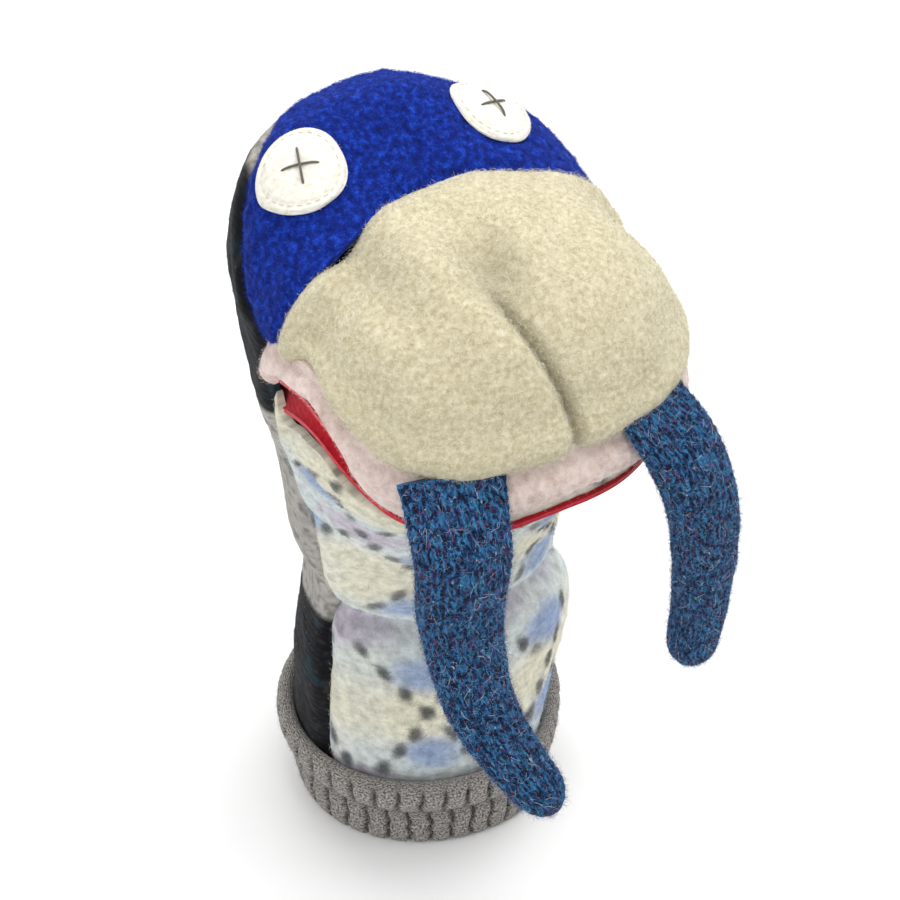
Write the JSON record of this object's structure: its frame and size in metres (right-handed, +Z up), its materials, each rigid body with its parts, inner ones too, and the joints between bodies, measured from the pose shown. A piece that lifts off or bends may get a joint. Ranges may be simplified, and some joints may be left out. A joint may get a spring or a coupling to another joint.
{
  "type": "walrus hand puppet",
  "caption": "Walrus hand puppet in felted wool knits, open below for a hand, with a nodding head, a dropping jaw, swinging tusks and a turned-up ribbed cuff to stand on.",
  "frame": {"origin": "middle of the cuff's bottom edge, on the surface that the puppet stands on", "axes": "+Z up along the sleeve, -Y the way the puppet looks, +X to the puppet's own left"},
  "size_m": [0.112, 0.1681, 0.2538],
  "materials": {
    "grey_rib_knit": "matte",
    "patterned_front_knit": "matte",
    "colour_block_back_knit": "matte",
    "blue_felted_knit": "matte",
    "cream_felted_knit": "matte",
    "pink_felted_knit": "matte",
    "red_felt": "matte",
    "ivory_felt": "matte",
    "charcoal_thread": "matte",
    "ivory_thread": "matte",
    "blue_tweed_knit": "matte",
    "fibre_filling": "matte"
  },
  "bodies": {
    "sleeve": {"cuff": "grey_rib_knit", "sleeve_front": "patterned_front_knit", "sleeve_back": "colour_block_back_knit", "side_seam_left": "patterned_front_knit", "side_seam_right": "patterned_front_knit"},
    "head": {"throat": "patterned_front_knit", "nape": "colour_block_back_knit", "head_back": "colour_block_back_knit", "forehead": "blue_felted_knit", "muzzle": "cream_felted_knit", "muzzle_padding": "fibre_filling", "crown_seam": "blue_felted_knit", "brow_seam": "cream_felted_knit", "lip_band": "pink_felted_knit", "mouth_lining_upper": "red_felt", "eye_left": "ivory_felt", "eye_right": "ivory_felt", "eye_cross_left": "charcoal_thread", "eye_cross_right": "charcoal_thread", "eye_stitching_left": "ivory_thread", "eye_stitching_right": "ivory_thread"},
    "jaw": {"chin": "patterned_front_knit", "mouth_lining_lower": "red_felt"},
    "tusk_left": {"tusk_cover_left": "blue_tweed_knit", "tusk_stuffing_left": "fibre_filling"},
    "tusk_right": {"tusk_cover_right": "blue_tweed_knit", "tusk_stuffing_right": "fibre_filling"}
  },
  "joints": [
    {"name": "head_nod", "type": "hinge", "parent": "sleeve", "child": "head", "pos_m": [0, 0.005, 0.095], "axis": [1, 0, 0], "range_deg": [-12, 20], "deforming": ["nape"]},
    {"name": "jaw_drop", "type": "hinge", "parent": "head", "child": "jaw", "pos_m": [0, 0, 0.171], "axis": [1, 0, 0], "range_deg": [0, 22], "deforming": ["throat"]},
    {"name": "tusk_left_swing", "type": "hinge", "parent": "head", "child": "tusk_left", "pos_m": [-0.0345, -0.0798, 0.194], "axis": [-1, 0, 0], "range_deg": [0, 60]},
    {"name": "tusk_right_swing", "type": "hinge", "parent": "head", "child": "tusk_right", "pos_m": [0.0295, -0.0798, 0.194], "axis": [-1, 0, 0], "range_deg": [0, 60]}
  ]
}
